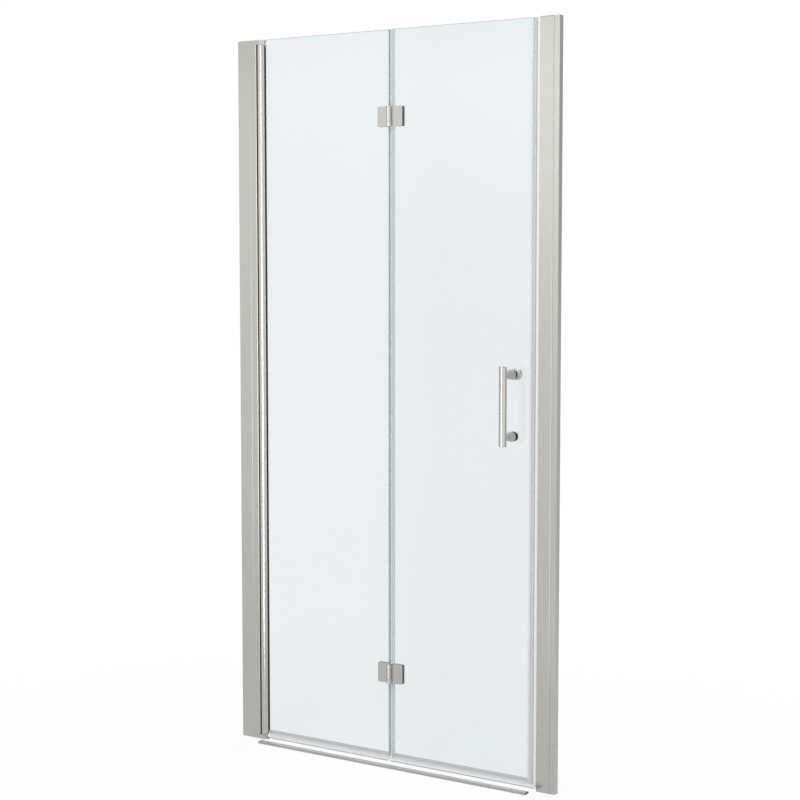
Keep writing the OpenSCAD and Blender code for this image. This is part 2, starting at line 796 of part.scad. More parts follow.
// Bottom seal whose legs and base can have different ends
module bottom_seal(base_x0, base_x1, clip_x0, clip_x1) color(clear_pvc) union() {
    across(base_x0, base_x1) bottom_base();
    across(clip_x0, clip_x1) bottom_clip();
}

module wall_bottom_seal() {
    x0 = pivot_x + glazing_reach + gasket_lip + fin_clear;
    bottom_seal(x0, wall_glass_right, x0, wall_glass_right);
}

// ---------- panel hinges ----------

module leaf_outline(x0, x1) {
    half = hinge_h / 2;
    r = leaf_corner_r;
    translate([x0, -half]) square([x1 - x0 - r, hinge_h]);
    translate([x0, r - half]) square([x1 - x0, hinge_h - 2 * r]);
    for (s = [-1, 1]) translate([x1 - r, s * (half - r)]) circle(r = r);
}

// Knuckle of a leaf between two heights, with the bridge that joins it to the plate
module knuckle(z0, z1) {
    translate([0, -hinge_axis_y, z0]) cylinder(r = knuckle_r, h = z1 - z0);
    translate([0, -leaf_front, z0]) cube([leaf_edge + cut, knuckle_bridge_t, z1 - z0]);
}

// Front leaf that runs from the axis towards +X
module hinge_leaf(outer, pin_clear) {
    half = hinge_h / 2;
    split = half - outer_knuckle_h;
    gap = knuckle_clear / 2;
    difference() {
        union() {
            deep(-leaf_front, -plate_face) leaf_outline(leaf_edge, leaf_reach);
            if (outer) {
                knuckle(-half, -split - gap);
                knuckle(split + gap, half);
            } else {
                knuckle(gap - split, split - gap);
            }
        }
        translate([0, -hinge_axis_y, -half - cut])
            cylinder(r = hinge_pin_r + pin_clear, h = hinge_h + 2 * cut);
        for (z = hinge_screw_levels) translate([hinge_screw_x, 0, z])
            hole_y(hinge_screw_r + fixed_clear, -screw_tip - seat_clear, 0);
    }
}

module back_plate(edge) {
    far = plate_face + back_plate_t;
    difference() {
        deep(plate_face, far) leaf_outline(edge, leaf_reach);
        for (z = hinge_screw_levels) translate([hinge_screw_x, 0, z]) {
            hole_y(hinge_screw_r + fixed_clear, 0, far + cut);
            translate([0, far - head_h, 0]) along_y()
                cylinder(r1 = hinge_screw_r + head_clear, r2 = head_r + head_clear, h = head_h);
        }
    }
}

module wall_side(z) translate([fold_x, 0, z]) mirror([1, 0, 0]) children();
module door_side(z) translate([fold_x, 0, z]) children();

module lower_wall_leaf() color(nickel) wall_side(lower_hinge_z) hinge_leaf(true, fixed_clear);
module upper_wall_leaf() color(nickel) wall_side(upper_hinge_z) hinge_leaf(true, fixed_clear);
module lower_wall_back_plate() color(nickel) wall_side(lower_hinge_z) back_plate(wall_plate_edge);
module upper_wall_back_plate() color(nickel) wall_side(upper_hinge_z) back_plate(wall_plate_edge);
module lower_door_leaf() color(nickel) door_side(lower_hinge_z) hinge_leaf(false, run_clear);
module upper_door_leaf() color(nickel) door_side(upper_hinge_z) hinge_leaf(false, run_clear);
module lower_door_back_plate() color(nickel) door_side(lower_hinge_z) back_plate(knuckle_reach);
module upper_door_back_plate() color(nickel) door_side(upper_hinge_z) back_plate(knuckle_reach);

// Gasket sheets on both faces of the glass, and sleeves through it
module plate_gaskets(edge) {
    near = half_glass + seat_clear;
    margin = 0.6;
    for (z = hinge_heights) translate([0, 0, z]) {
        difference() {
            union() {
                deep(-near - plate_gasket_t, -near) leaf_outline(edge + margin, leaf_reach - margin);
                for (dz = hinge_screw_levels) translate([hinge_screw_x, 0, dz])
                    hole_y(hinge_glass_hole_r - seat_clear, -near - plate_gasket_t / 2, half_glass);
            }
            for (dz = hinge_screw_levels) translate([hinge_screw_x, 0, dz])
                hole_y(hinge_screw_r + fixed_clear, -glass_t, glass_t);
        }
        difference() {
            deep(near, near + plate_gasket_t) leaf_outline(edge + margin, leaf_reach - margin);
            for (dz = hinge_screw_levels) translate([hinge_screw_x, 0, dz])
                hole_y(hinge_screw_r + fixed_clear, 0, 2 * glass_t);
        }
    }
}

module wall_hinge_gaskets() color(black_rubber) wall_side(0) plate_gaskets(wall_plate_edge);
module door_hinge_gaskets() color(black_rubber) door_side(0) plate_gaskets(knuckle_reach);

// Countersunk screw from the back plate through the glass into the leaf
module hinge_screw() {
    far = plate_face + back_plate_t - seat_clear;
    difference() {
        translate([0, -screw_tip, 0]) along_y() rotate_extrude() polygon([
            [0, 0], [hinge_screw_r, 0], [hinge_screw_r, screw_tip + far - head_h], [head_r, screw_tip + far],
            [0, screw_tip + far]
        ]);
        translate([0, far - socket_depth, 0]) along_y()
            cylinder(r = socket_r, h = socket_depth + cut, $fn = 6);
    }
}

module wall_hinge_screws() color(steel) at_hinge_holes(-1) hinge_screw();
module door_hinge_screws() color(steel) at_hinge_holes(1) hinge_screw();

module hinge_pins() color(steel) for (z = hinge_heights)
    translate([fold_x, -hinge_axis_y, z - hinge_h / 2 + 0.5]) cylinder(r = hinge_pin_r, h = hinge_h - 1);

// ---------- door panel ----------

module at_handle_posts() for (z = handle_levels) translate([handle_x, 0, z]) children();

module door_glass() {
    color(glass_tint) difference() {
        rise(glass_lift, door_h) glass_plan(door_glass_left, door_glass_right);
        at_hinge_holes(1) hole_y(hinge_glass_hole_r, -glass_t, glass_t);
        at_handle_posts() hole_y(handle_glass_hole_r, -glass_t, glass_t);
    }
}

module door_bottom_seal() {
    left = door_glass_left - seat_clear - seal_t;
    bottom_seal(left, strike_edge - bottom_end_gap, door_glass_left + centre_leg + fin_clear,
        door_glass_right - edge_leg - fin_clear);
}

// Legs on both faces of a glass edge at X = 0, with the glass towards +X
module seal_clip(leg) {
    inside = half_glass + seat_clear;
    difference() {
        translate([-seal_t - seat_clear, -inside - seal_t])
            square([leg + seal_t + seat_clear, 2 * (inside + seal_t)]);
        translate([-seat_clear, -inside]) square([leg + 2 * seal_t, 2 * inside]);
    }
}

// Fin of the centre seal, lapping behind the wall panel's glass
module centre_fin_section() {
    lap = wall_edge_setback + door_edge_setback + centre_fin;
    translate([-lap, half_glass + seat_clear + fin_clear]) square([lap, seal_t - fin_clear]);
}

// Clip on the door glass's hinge edge in three lengths; the fin stops above the bottom seals
module centre_seal() {
    clear = hinge_h / 2 + plate_seal_gap;
    fin_start = glass_lift + bottom_leg + 2 * fin_clear;
    starts = [glass_lift + seat_clear, lower_hinge_z + clear, upper_hinge_z + clear];
    ends = [lower_hinge_z - clear, upper_hinge_z - clear, door_h];
    color(clear_pvc) translate([door_glass_left, 0, 0]) for (i = [0:2]) {
        rise(starts[i], ends[i]) seal_clip(centre_leg);
        rise(max(starts[i], fin_start), ends[i]) centre_fin_section();
    }
}

// Clip on the door glass's free edge, with a chamber for the magnet
module door_edge_seal() {
    inside = half_glass + seat_clear;
    outer = inside + seal_t;
    base = seat_clear + seal_t;
    tip = base + edge_chamber_w;
    wall = magnet_wall;
    c = strip_corner;
    hold = edge_chamber_w - wall - magnet_w - 2 * seat_clear;
    color(clear_pvc) translate([door_glass_right, 0, 0]) rise(glass_lift + seat_clear, door_h) difference() {
        union() {
            mirror([1, 0]) seal_clip(edge_leg);
            polygon([
                [seat_clear, -outer], [tip - c, -outer], [tip, c - outer], [tip, outer - c],
                [tip - c, outer], [seat_clear, outer]
            ]);
        }
        translate([base + hold, -magnet_d / 2 - seat_clear])
            square([magnet_w + 2 * seat_clear, magnet_d + 2 * seat_clear]);
        translate([base, wall - outer]) square([hold - wall, 2 * (outer - wall)]);
    }
}

module door_magnet() color(magnet_black)
    translate([edge_seal_right - magnet_wall - magnet_w - seat_clear, 0, 0])
        magnet_strip(glass_lift + cut, door_h - cut);

module handle_bar() {
    c = bar_end_chamfer;
    color(steel) translate([handle_x, bar_axis_y, handle_z - bar_len / 2]) rotate_extrude() polygon([
        [0, 0], [bar_r - c, 0], [bar_r, c], [bar_r, bar_len - c], [bar_r - c, bar_len], [0, bar_len]
    ]);
}

// Post from the bar to the glass: a neck that widens into a boss
module handle_post(z) {
    length = post_foot_y - bar_axis_y;
    flare = length - boss_h;
    rim = 0.6;
    steps = 10;
    straight = bar_r + 1;
    curve = [for (i = [0:steps]) let (t = i / steps, s = pow(t, 1.2))
        [neck_r + (boss_r - neck_r) * s, straight + (flare - straight) * t]];
    color(steel) translate([handle_x, bar_axis_y, z]) difference() {
        along_y() rotate_extrude() polygon(concat(
            [[0, bar_r / 2], [neck_r, bar_r / 2]], curve,
            [[boss_r, length - rim], [boss_r - rim, length], [0, length]]
        ));
        translate([0, 0, -2 * boss_r]) cylinder(r = bar_r + fixed_clear, h = 4 * boss_r);
        hole_y(stud_r + fixed_clear, length - stud_depth - seat_clear, length + cut);
    }
}

module lower_handle_post() handle_post(handle_levels[0]);
module upper_handle_post() handle_post(handle_levels[1]);

// Black bush with a ring outside the glass and a sleeve through it
module handle_bushes() color(black_rubber) at_handle_posts() difference() {
    union() {
        hole_y(boss_r - bush_inset, -half_glass - seat_clear - bush_ring_t, -half_glass - seat_clear);
        hole_y(handle_glass_hole_r - seat_clear, -half_glass - bush_ring_t / 2, half_glass);
    }
    hole_y(stud_r + fixed_clear, -half_glass - 2 * bush_ring_t, glass_t);
}

module rear_washers() color(black_rubber) at_handle_posts() difference() {
    hole_y(boss_r - 2, half_glass + seat_clear, half_glass + seat_clear + rear_washer_t);
    hole_y(stud_r + fixed_clear, 0, 2 * glass_t);
}

// The upper stud ends in the knob, the lower one in the flat cap
module handle_studs() color(steel) {
    start = post_foot_y - stud_depth;
    ends = [rear_face_y + cap_t * 0.6, rear_face_y + knob_len * 0.6];
    for (i = [0:1]) translate([handle_x, 0, handle_levels[i]]) hole_y(stud_r, start, ends[i]);
}

// Knob with a narrow foot, a waist and a rounded head
module rear_knob() {
    foot_r = knob_r * 0.72;
    waist_r = knob_r * 0.6;
    soft = 1.6;
    head = knob_len * 0.5;
    round_steps = 5;
    top = [for (i = [0:round_steps]) let (a = 90 * i / round_steps)
        [knob_r - soft + soft * cos(a), knob_len - soft + soft * sin(a)]];
    color(steel) translate([handle_x, rear_face_y, handle_levels[1]]) difference() {
        along_y() rotate_extrude() polygon(concat(
            [[0, 0], [foot_r, 0], [foot_r, 1.6], [waist_r, 3.4], [waist_r + 0.6, head - 2.4],
             [knob_r - 0.8, head], [knob_r, head + 1]], top, [[0, knob_len]]
        ));
        hole_y(stud_r + fixed_clear, -cut, knob_len * 0.6 + seat_clear);
    }
}

module rear_cap() color(steel) translate([handle_x, rear_face_y, handle_levels[0]]) difference() {
    along_y() rotate_extrude() polygon([
        [0, 0], [boss_r, 0], [boss_r, cap_t - 1.2], [boss_r - 0.4, cap_t - 0.5],
        [boss_r - 1.2, cap_t], [0, cap_t]
    ]);
    hole_y(stud_r + fixed_clear, -cut, cap_t * 0.6 + seat_clear);
}

hinge_wall_channel();
hinge_post();
bottom_pivot_bracket();
top_pivot_bracket();
bottom_pivot_pin();
top_pivot_pin();
thrust_washers();
bracket_screws();
pivot_gap_seal();
hinge_channel_cap();
hinge_post_screws();
hinge_screw_caps();
strike_wall_channel();
strike_post();
strike_magnet_carrier();
strike_magnet();
strike_top_cap();
strike_cap_screws();
strike_post_screws();
strike_screw_caps();
threshold_bar();
pivot_profile();
bottom_pivot_bush();
top_pivot_bush();
glazing_gasket();
wall_glass();
wall_bottom_seal();
lower_wall_leaf();
upper_wall_leaf();
lower_wall_back_plate();
upper_wall_back_plate();
wall_hinge_gaskets();
wall_hinge_screws();
hinge_pins();
door_glass();
door_bottom_seal();
centre_seal();
lower_door_leaf();
upper_door_leaf();
lower_door_back_plate();
upper_door_back_plate();
door_hinge_gaskets();
door_hinge_screws();
door_edge_seal();
door_magnet();
handle_bar();
lower_handle_post();
upper_handle_post();
handle_bushes();
handle_studs();
rear_washers();
rear_knob();
rear_cap();
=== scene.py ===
"""Finish, light and camera for the bifold shower door. Metres, Z up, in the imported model's frame."""
import math

import bmesh
import bpy
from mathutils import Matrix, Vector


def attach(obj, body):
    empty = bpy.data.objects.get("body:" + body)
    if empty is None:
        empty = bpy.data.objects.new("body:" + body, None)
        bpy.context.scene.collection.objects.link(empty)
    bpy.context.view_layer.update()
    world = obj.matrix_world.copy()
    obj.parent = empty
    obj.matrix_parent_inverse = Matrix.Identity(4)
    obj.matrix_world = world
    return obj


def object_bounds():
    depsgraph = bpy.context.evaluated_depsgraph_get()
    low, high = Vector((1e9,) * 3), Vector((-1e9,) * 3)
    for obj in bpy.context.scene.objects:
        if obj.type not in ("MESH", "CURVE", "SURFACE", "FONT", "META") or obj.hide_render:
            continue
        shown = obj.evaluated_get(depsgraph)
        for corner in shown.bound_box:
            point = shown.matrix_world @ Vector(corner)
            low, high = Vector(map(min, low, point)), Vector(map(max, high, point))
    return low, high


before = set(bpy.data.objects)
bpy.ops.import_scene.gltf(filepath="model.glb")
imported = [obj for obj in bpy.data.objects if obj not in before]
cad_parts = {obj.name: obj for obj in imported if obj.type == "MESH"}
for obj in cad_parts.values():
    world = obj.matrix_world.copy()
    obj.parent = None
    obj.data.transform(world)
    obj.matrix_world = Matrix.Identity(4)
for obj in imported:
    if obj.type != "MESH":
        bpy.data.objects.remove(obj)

cad_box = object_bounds()

# ---------- the photograph's view ----------

LENS_MM = 80.0
SENSOR_MM = 36.0
CAMERA_AT = (2.947876, -3.643442, 1.283985)
CAMERA_AZIMUTH_DEG = 33.9
CAMERA_DOWN_DEG = 4.726

# ---------- measures shared by the sections below ----------

MM = 0.001
door_low, door_high = cad_box
door_width = door_high[0] - door_low[0]
door_height = door_high[2] - door_low[2]
door_middle = (door_width / 2, 0.0, door_height / 2)


# ---------- node helpers ----------

NOISE_RANGE = (0.3, 0.7)    # where nearly all of a noise's values lie


class Nodes:
    """A short hand for building one node tree."""

    def __init__(self, tree):
        self.tree = tree

    def add(self, kind, settings=None, **sockets):
        """A node of this kind, with its settings, and with its inputs linked or set by name."""
        node = self.tree.nodes.new("ShaderNode" + kind)
        for key, value in (settings or {}).items():
            setattr(node, key, value)
        for key, value in sockets.items():
            self.feed(node, key.replace("_", " "), value)
        return node

    def feed(self, node, key, value):
        """Links value into an input if it is a socket, or sets it. Key is a name or a number."""
        socket = node.inputs[key]
        if isinstance(value, bpy.types.NodeSocket):
            self.tree.links.new(value, socket)
        else:
            socket.default_value = value

    def maths(self, operation, first, second=0.0, clamp=False):
        """One step of arithmetic."""
        node = self.add("Math", {"operation": operation, "use_clamp": clamp})
        self.feed(node, 0, first)
        self.feed(node, 1, second)
        return node.outputs[0]

    def measure(self, operation, first, second):
        """A number from two vectors, such as their distance."""
        node = self.add("VectorMath", {"operation": operation})
        self.feed(node, 0, first)
        self.feed(node, 1, second)
        return node.outputs["Value"]

    def spread(self, value, low, high, new_low, new_high, kind="LINEAR"):
        """Value from low..high mapped to new_low..new_high."""
        node = self.add("MapRange", {"interpolation_type": kind}, Value=value, From_Min=low,
                        From_Max=high, To_Min=new_low, To_Max=new_high)
        return node.outputs[0]

    def vary(self, noise, low, high):
        """A number from low to high that follows a noise."""
        return self.spread(noise, *NOISE_RANGE, low, high)

    def mix_colour(self, share, first, second):
        """The first colour, and as much of the second as share says.

        A mix node's colour sockets come after those for numbers and vectors.
        """
        node = self.add("Mix", {"data_type": "RGBA"})
        self.feed(node, 0, share)
        self.feed(node, 6, first)
        self.feed(node, 7, second)
        return node.outputs[2]

    def mix_shader(self, share, first, second):
        """The first shader, and as much of the second as share says."""
        node = self.add("MixShader", None, Fac=share)
        self.feed(node, 1, first)
        self.feed(node, 2, second)
        return node.outputs[0]

    def noise(self, at, scale, detail, roughness):
        """A noise texture's value at a place."""
        node = self.add("TexNoise", None, Vector=at, Scale=scale, Detail=detail,
                        Roughness=roughness)
        return node.outputs["Fac"]

    def place(self, scale=(1, 1, 1)):
        """Object coordinates in metres, stretched."""
        coordinates = self.add("TexCoord").outputs["Object"]
        return self.add("Mapping", None, Vector=coordinates, Scale=scale).outputs[0]

    def coordinate(self, kind, axis):
        """One axis of a surface's place, of its normal or, in the world, of a ray's direction."""
        vector = self.add("TexCoord").outputs[kind]
        return self.add("SeparateXYZ", None, Vector=vector).outputs[axis]


def material(name):
    """An empty material, its node helper, and the socket that its shader goes into."""
    made = bpy.data.materials.new(name)
    made.use_nodes = True
    made.node_tree.nodes.clear()
    nodes = Nodes(made.node_tree)
    return made, nodes, nodes.add("OutputMaterial").inputs["Surface"]


def principled(nodes, surface, **sockets):
    """Makes a principled shader the whole surface."""
    shader = nodes.add("BsdfPrincipled", None, **sockets)
    nodes.tree.links.new(shader.outputs[0], surface)


def sRGB(red, green, blue):
    """A colour as a screen shows it, from 0 to 255, as a linear colour."""
    def linear(level):
        share = level / 255
        return share / 12.92 if share <= 0.04045 else ((share + 0.055) / 1.055) ** 2.4
    return (linear(red), linear(green), linear(blue), 1.0)


def shades(colour, reach):
    """The darkest and the lightest tone of a colour that varies by this share either way."""
    dark = tuple(level * (1 - reach) for level in colour[:3]) + (1.0,)
    light = tuple(min(1.0, level * (1 + reach)) for level in colour[:3]) + (1.0,)
    return dark, light


def stretched(along, times):
    """The scale of a pattern that is drawn out this many times along one axis."""
    scale = [1.0, 1.0, 1.0]
    scale["XYZ".index(along)] = 1.0 / times
    return scale


# ---------- metals ----------

GRAIN_LINES = 2600.0            # fine brushed lines across a metre
GRAIN_BANDS = 260.0             # broad bands across a metre
GRAIN_STRETCH = 500.0           # how many times a line is longer than it is wide
STAINS = 7.0                    # faint stains across a metre
GRAIN_REACH = 0.4               # share that a tone may be darker or lighter than the colour
GRAIN_HEIGHT = 0.2 * MM
GRAIN_ROUGH = (-0.05, 0.07)     # what the lines add to the roughness
STAIN_ROUGH = 0.02              # and what the stains add to it or take off
# painted highlight: faces that look up take a lighter top colour that stands in for the light falling
# on them
HIGHLIGHT_FACES_UP = (0.8, 0.97)          # a normal's share of Z where the top's colour starts and is whole


def brushed(name, colour, along, roughness, contrast=0.05, bump=0.04, top_highlight_colour=None):
    """Brushed metal whose grain runs along one axis, with fine lines, broad bands and stains.

    Faces that look up can have a second, lighter colour: a painted highlight, as along a rail's top.
    """
    made, nodes, surface = material(name)
    at = nodes.place(stretched(along, GRAIN_STRETCH))
    lines = nodes.noise(at, GRAIN_LINES, detail=3.0, roughness=0.6)
    bands = nodes.noise(at, GRAIN_BANDS, detail=2.0, roughness=0.5)
    stains = nodes.noise(nodes.place(), STAINS, detail=3.0, roughness=0.55)
    tone = nodes.maths("ADD", nodes.vary(lines, -contrast, contrast),
                       nodes.vary(bands, -contrast / 2, contrast / 2))
    tone = nodes.maths("ADD", tone, nodes.vary(stains, -contrast / 3, contrast / 3))
    share = nodes.maths("ADD", tone, 0.5, clamp=True)
    painted = nodes.mix_colour(share, *shades(colour, GRAIN_REACH))
    # painted highlight on the faces that look up
    if top_highlight_colour:
        highlight_share = nodes.spread(nodes.coordinate("Normal", "Z"), *HIGHLIGHT_FACES_UP, 0.0, 1.0)
        top = nodes.mix_colour(share, *shades(top_highlight_colour, GRAIN_REACH))
        painted = nodes.mix_colour(highlight_share, painted, top)
    stained = nodes.vary(stains, roughness - STAIN_ROUGH, roughness + STAIN_ROUGH)
    rough = nodes.maths("ADD", nodes.vary(lines, *GRAIN_ROUGH), stained, clamp=True)
    relief = nodes.add("Bump", None, Strength=bump, Distance=GRAIN_HEIGHT, Height=lines)
    principled(nodes, surface, Base_Color=painted, Metallic=1.0, Roughness=rough,
               Normal=relief.outputs[0])
    return made


# ---------- glass ----------

# Each pair is two tints of a panel's faces or of the edges, which clouds or grains mix
WALL_TINTS = ((0.82, 0.856, 0.864, 1.0), (0.83, 0.866, 0.873, 1.0))
DOOR_TINTS = ((0.796, 0.834, 0.842, 1.0), (0.806, 0.844, 0.851, 1.0))
BETWEEN_PANELS = (0.4, 0.6)     # where one panel's tint goes over into the other's
FACE_CLOUDS = 3.0               # faint clouds across a metre of a face
EDGE_TINTS = (sRGB(168, 206, 202), sRGB(184, 216, 213))
EDGE_GRAINS = 900.0             # grains across a metre of a ground edge
EDGE_TURN = 0.9                 # a face whose normal has a smaller share of Y is an edge
EDGE_ROUGH = 0.35
EDGE_MILKY = 0.75               # share of the light that a ground edge doesn't let through
TOP_STRIP = 2.4 * MM            # darker strip along the top of the glass
TOP_STRIP_TINT = (0.6, 0.63, 0.63, 1.0)
GLASS_IOR = 1.5


def glass_material():
    """Clear toughened glass: faintly green faces and deeper green ground edges."""
    made, nodes, surface = material("clear_glass")
    facing = nodes.maths("ABSOLUTE", nodes.coordinate("Normal", "Y"))
    edge = nodes.maths("LESS_THAN", facing, EDGE_TURN)
    clouds = nodes.noise(nodes.place(), FACE_CLOUDS, detail=3.0, roughness=0.5)
    over = nodes.spread(nodes.coordinate("Object", "X"), *BETWEEN_PANELS, 0.0, 1.0)
    face_tint = nodes.mix_colour(over, nodes.mix_colour(clouds, *WALL_TINTS),
                                 nodes.mix_colour(clouds, *DOOR_TINTS))
    grains = nodes.noise(nodes.place(), EDGE_GRAINS, detail=2.0, roughness=0.6)
    tint = nodes.mix_colour(edge, face_tint, nodes.mix_colour(grains, *EDGE_TINTS))
    height = nodes.coordinate("Object", "Z")
    top_strip = nodes.maths("GREATER_THAN", height, door_height - TOP_STRIP)
    tint = nodes.mix_colour(top_strip, tint, TOP_STRIP_TINT)
    rough = nodes.maths("MULTIPLY", edge, EDGE_ROUGH)
    clear = nodes.maths("SUBTRACT", 1.0, nodes.maths("MULTIPLY", edge, EDGE_MILKY))
    shader = nodes.add("BsdfPrincipled", None, Base_Color=tint, Roughness=rough,
                       Transmission_Weight=clear, IOR=GLASS_IOR)
    passed = nodes.add("BsdfTransparent", None, Color=tint)
    shadow = nodes.add("LightPath").outputs["Is Shadow Ray"]
    mixed = nodes.mix_shader(shadow, shader.outputs[0], passed.outputs[0])
    nodes.tree.links.new(mixed, surface)
    return made


# ---------- seals and plastics ----------

PVC_CLOUDS = 60.0               # clouds across a metre of clear PVC
PVC_CLOUD_STRETCH = 20.0        # how many times they are longer than they are wide
PVC_LINES = 1200.0              # fine flow lines across a metre
PVC_LINE_STRETCH = 100.0
PVC_ROUGH = (0.12, 0.24)
PVC_BUMP = 0.08
PVC_IOR = 1.53
PLASTIC_CLOUDS = 40.0           # clouds across a metre of a moulding
PLASTIC_GRAINS = 2500.0         # fine grains across a metre
PLASTIC_ROUGH = 0.06            # what they add to the roughness or take off
PLASTIC_BUMP = 0.05
PLASTIC_HEIGHT = 0.1 * MM       # height of the lines of PVC and of the grains of a moulding

# The bottom seals' bands, each lower than the one before: its top, and its colour. They are painted
# light and shade: the pale bands paint the white behind showing through the clear seal, the dark band
# paints shade on the fin tips.
SEAL_LIGHT_AND_SHADE_BANDS = [
    (0.019, sRGB(251, 251, 252)),       # the clear part under the glass
    (0.0145, sRGB(255, 255, 255)),      # the seal's floor and the thin fins, paler than their tips
    (0.0085, sRGB(128, 129, 132)),      # the thick tips of the fins
]


def clear_pvc_material(name, along, dark, light, alpha=0.42, bands=()):
    """Clear flexible PVC, a little grey and cloudy along its length.

    Bands are tops and colours, and each covers what is below its top; they paint light and shade by
    height.
    """
    made, nodes, surface = material(name)
    clouds = nodes.noise(nodes.place(stretched(along, PVC_CLOUD_STRETCH)), PVC_CLOUDS,
                         detail=3.0, roughness=0.55)
    lines = nodes.noise(nodes.place(stretched(along, PVC_LINE_STRETCH)), PVC_LINES,
                        detail=2.0, roughness=0.5)
    colour = nodes.mix_colour(clouds, dark, light)
    for top, shade in bands:
        below = nodes.maths("LESS_THAN", nodes.coordinate("Object", "Z"), top)
        colour = nodes.mix_colour(below, colour, shade)
    relief = nodes.add("Bump", None, Strength=PVC_BUMP, Distance=PLASTIC_HEIGHT, Height=lines)
    principled(nodes, surface, Base_Color=colour, Roughness=nodes.vary(lines, *PVC_ROUGH),
               Normal=relief.outputs[0], Alpha=alpha, IOR=PVC_IOR)
    return made


def moulded(name, colour, variation, roughness):
    """Moulded plastic or rubber with a fine grain and faint clouds."""
    made, nodes, surface = material(name)
    clouds = nodes.noise(nodes.place(), PLASTIC_CLOUDS, detail=3.0, roughness=0.5)
    grains = nodes.noise(nodes.place(), PLASTIC_GRAINS, detail=2.0, roughness=0.6)
    rough = nodes.vary(grains, roughness - PLASTIC_ROUGH, roughness + PLASTIC_ROUGH)
    relief = nodes.add("Bump", None, Strength=PLASTIC_BUMP, Distance=PLASTIC_HEIGHT,
                       Height=grains)
    principled(nodes, surface, Base_Color=nodes.mix_colour(clouds, *shades(colour, variation)),
               Roughness=rough, Normal=relief.outputs[0])
    return made


# ---------- what each node is made of ----------

NICKEL = sRGB(194, 193, 188)
STEEL = sRGB(188, 187, 183)
HANDLE_STEEL = sRGB(178, 177, 173)
# painted light: the handle's steel made lighter for the knob and cap behind the glass, which the lamps
# light less
REAR_STEEL_LIGHTENED = sRGB(224, 224, 221)
RAIL_FRONT = sRGB(184, 183, 178)
# the rail's top, lighter as a painted highlight
RAIL_TOP_HIGHLIGHT = sRGB(214, 213, 208)
PIN_STEEL = sRGB(170, 170, 168)

profile_metal = brushed("profile_metal", NICKEL, "Z", 0.22, contrast=0.03, bump=0.015)
threshold_metal_top_highlight = brushed("threshold_metal_top_highlight", RAIL_FRONT, "X", 0.3, top_highlight_colour=RAIL_TOP_HIGHLIGHT)
plate_metal = brushed("plate_metal", STEEL, "Z", 0.3)
handle_metal = brushed("handle_metal", HANDLE_STEEL, "Z", 0.14, contrast=0.03, bump=0.01)
turned_metal = brushed("turned_metal", HANDLE_STEEL, "X", 0.24)
# painted light: a lighter copy of the handle steel for the parts behind the glass
rear_metal_lightened = brushed("rear_metal_lightened", REAR_STEEL_LIGHTENED, "X", 0.4)
pin_metal = brushed("pin_metal", PIN_STEEL, "X", 0.25)
glass = glass_material()
# both seals are the same clear PVC; the door edge seal's copy is painted lighter, standing in for more
# light falling on it
centre_pvc = clear_pvc_material("centre_pvc", "Z", sRGB(228, 230, 232), sRGB(240, 241, 243))
edge_pvc_lightened = clear_pvc_material("edge_pvc_lightened", "Z", sRGB(238, 239, 241), sRGB(247, 248, 249),
                              alpha=0.36)
# the bottom seals' colours by height are painted light and shade
bottom_pvc_light_and_shade = clear_pvc_material("bottom_pvc_light_and_shade", "X", sRGB(214, 213, 215), sRGB(226, 225, 227),
                                bands=SEAL_LIGHT_AND_SHADE_BANDS)
white_pvc = moulded("white_pvc", sRGB(246, 246, 245), 0.02, 0.4)
cap_plastic = moulded("cap_plastic", sRGB(182, 181, 176), 0.03, 0.42)
nylon = moulded("nylon", sRGB(226, 225, 220), 0.03, 0.45)
black_rubber = moulded("black_rubber", sRGB(20, 20, 19), 0.15, 0.6)
magnet_strip = moulded("magnet_strip", sRGB(176, 176, 174), 0.05, 0.55)

HINGE_LEAVES = ["lower_wall_leaf", "upper_wall_leaf", "lower_door_leaf", "upper_door_leaf"]

FINISHES = {
    profile_metal: ["hinge_wall_channel", "hinge_post", "strike_wall_channel", "strike_post",
                    "pivot_profile", "bottom_pivot_bracket", "top_pivot_bracket"],
    threshold_metal_top_highlight: ["threshold_bar"],
    plate_metal: HINGE_LEAVES + ["lower_wall_back_plate", "upper_wall_back_plate",
                                 "lower_door_back_plate", "upper_door_back_plate"],
    handle_metal: ["handle_bar"],
    turned_metal: ["lower_handle_post", "upper_handle_post"],
    rear_metal_lightened: ["rear_knob", "rear_cap"],
    pin_metal: ["bottom_pivot_pin", "top_pivot_pin", "hinge_pins", "bracket_screws",
                "hinge_post_screws", "strike_post_screws", "strike_cap_screws",
                "wall_hinge_screws", "door_hinge_screws", "handle_studs"],
    glass: ["wall_glass", "door_glass"],
    centre_pvc: ["centre_seal"],
    edge_pvc_lightened: ["door_edge_seal"],
    bottom_pvc_light_and_shade: ["wall_bottom_seal", "door_bottom_seal"],
    white_pvc: ["strike_magnet_carrier"],
    cap_plastic: ["hinge_channel_cap", "hinge_screw_caps", "strike_screw_caps",
                  "strike_top_cap"],
    nylon: ["thrust_washers", "bottom_pivot_bush", "top_pivot_bush"],
    black_rubber: ["pivot_gap_seal", "glazing_gasket", "wall_hinge_gaskets",
                   "door_hinge_gaskets", "handle_bushes", "rear_washers"],
    magnet_strip: ["strike_magnet", "door_magnet"],
}

for finish, names in FINISHES.items():
    for name in names:
        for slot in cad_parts[name].material_slots:
            slot.material = finish


# ---------- wall screws ----------

WALL_SCREW_FIRST = 0.12         # height of a wall channel's lowest screw
WALL_SCREW_PITCH = 0.53
WALL_SCREWS = 4
SCREW_SIDES = 32
SHARP_DEG = 35                  # edges that turn by more than this stay sharp
SAME_POINT = 0.01 * MM

